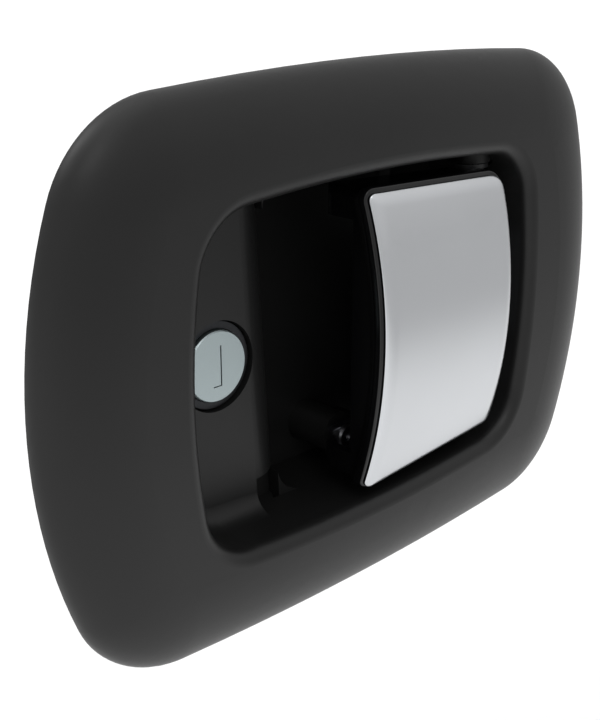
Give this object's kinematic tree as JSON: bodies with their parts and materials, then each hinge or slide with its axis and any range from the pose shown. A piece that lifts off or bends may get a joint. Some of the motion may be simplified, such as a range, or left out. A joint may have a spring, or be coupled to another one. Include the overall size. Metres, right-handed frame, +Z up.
{
  "type": "paddle latch",
  "caption": "Flush keyed paddle latch: a hand paddle in a domed bezel draws a slam bolt back through a lockable clutch plate.",
  "frame": {"origin": "middle of the bezel's back face, which lies on the panel, and of the insert pattern", "axes": "-Y out of the panel towards the user, +X towards the bolt's tip, +Z up"},
  "size_m": [0.182, 0.0541, 0.12],
  "materials": {
    "black_moulding": "satin moulded glass-filled nylon",
    "gloss_black": "gloss moulded",
    "chrome": "satin-bright plate",
    "lock_metal": "fine machined face",
    "black_zinc": "black passivated die casting",
    "spring_steel": "drawn wire and strip",
    "bright_steel": "bright turned",
    "zinc_plate": "clear zinc plated pressing",
    "cast_zinc": "die cast zinc alloy",
    "insert_brass": "knurled",
    "nylon": "natural acetal",
    "stop_rubber": "moulded",
    "foam_rubber": "closed-cell foam"
  },
  "bodies": {
    "housing": {"bezel": "black_moulding", "gasket": "foam_rubber", "pocket_pan": "black_moulding", "anchor_screw": "bright_steel", "hinge_pin": "bright_steel", "paddle_spring": "spring_steel", "chassis": "zinc_plate", "bar_strap": "zinc_plate", "bolt_guide": "cast_zinc", "bolt_spring": "spring_steel", "lock_barrel": "black_zinc", "lock_clip": "spring_steel", "mount_insert_1": "insert_brass", "mount_insert_2": "insert_brass", "mount_insert_3": "insert_brass", "mount_insert_4": "insert_brass", "pan_screw_1": "bright_steel", "pan_screw_2": "bright_steel", "pan_screw_3": "bright_steel", "pan_screw_4": "bright_steel", "chassis_screw_1": "bright_steel", "chassis_screw_2": "bright_steel", "chassis_screw_3": "bright_steel", "chassis_screw_4": "bright_steel", "strap_rivet_1": "bright_steel", "strap_rivet_2": "bright_steel", "guide_rivet_1": "bright_steel", "guide_rivet_2": "bright_steel", "guide_rivet_3": "bright_steel", "guide_rivet_4": "bright_steel", "pin_clip_top": "spring_steel", "pin_clip_bottom": "spring_steel", "stop_pad_top": "stop_rubber", "stop_pad_bottom": "stop_rubber"},
    "paddle": {"paddle_base": "gloss_black", "paddle_cover": "chrome", "paddle_lever": "zinc_plate", "lever_rivet": "bright_steel", "pivot_bush_top": "nylon", "pivot_bush_bottom": "nylon"},
    "bolt": {"bolt_bar": "zinc_plate", "bolt_nose": "cast_zinc", "nose_rivet": "bright_steel"},
    "clutch": {"clutch_slide": "zinc_plate", "slide_pin_1": "bright_steel", "slide_pin_2": "bright_steel"},
    "lock": {"lock_plug": "lock_metal", "lock_cam": "zinc_plate", "cam_pin": "bright_steel", "cam_washer": "zinc_plate"}
  },
  "joints": [
    {"name": "paddle_hinge", "type": "hinge", "parent": "housing", "child": "paddle", "pos_m": [0.043, 0.004, 0], "axis": [0, 0, 1], "range_deg": [0, 30], "stiffness_Nm_per_rad": 0.6, "springref_deg": -28.65, "deforming": ["paddle_spring"]},
    {"name": "bolt_slide", "type": "slide", "parent": "housing", "child": "bolt", "axis": [-1, 0, 0], "range_m": [0, 0.01213], "deforming": ["bolt_spring"]},
    {"name": "lock_turn", "type": "hinge", "parent": "housing", "child": "lock", "pos_m": [-0.036, 0.0058, 0], "axis": [0, -1, 0], "range_deg": [0, 90]},
    {"name": "clutch_lift", "type": "slide", "parent": "bolt", "child": "clutch", "axis": [0, 0, 1], "range_m": [0, 0.0085]}
  ],
  "couplings": [
    {"joint": "bolt_slide", "follows": "paddle_hinge", "m_per_rad": 0.023157},
    {"joint": "clutch_lift", "follows": "lock_turn", "m_per_rad": 0.0054019}
  ]
}
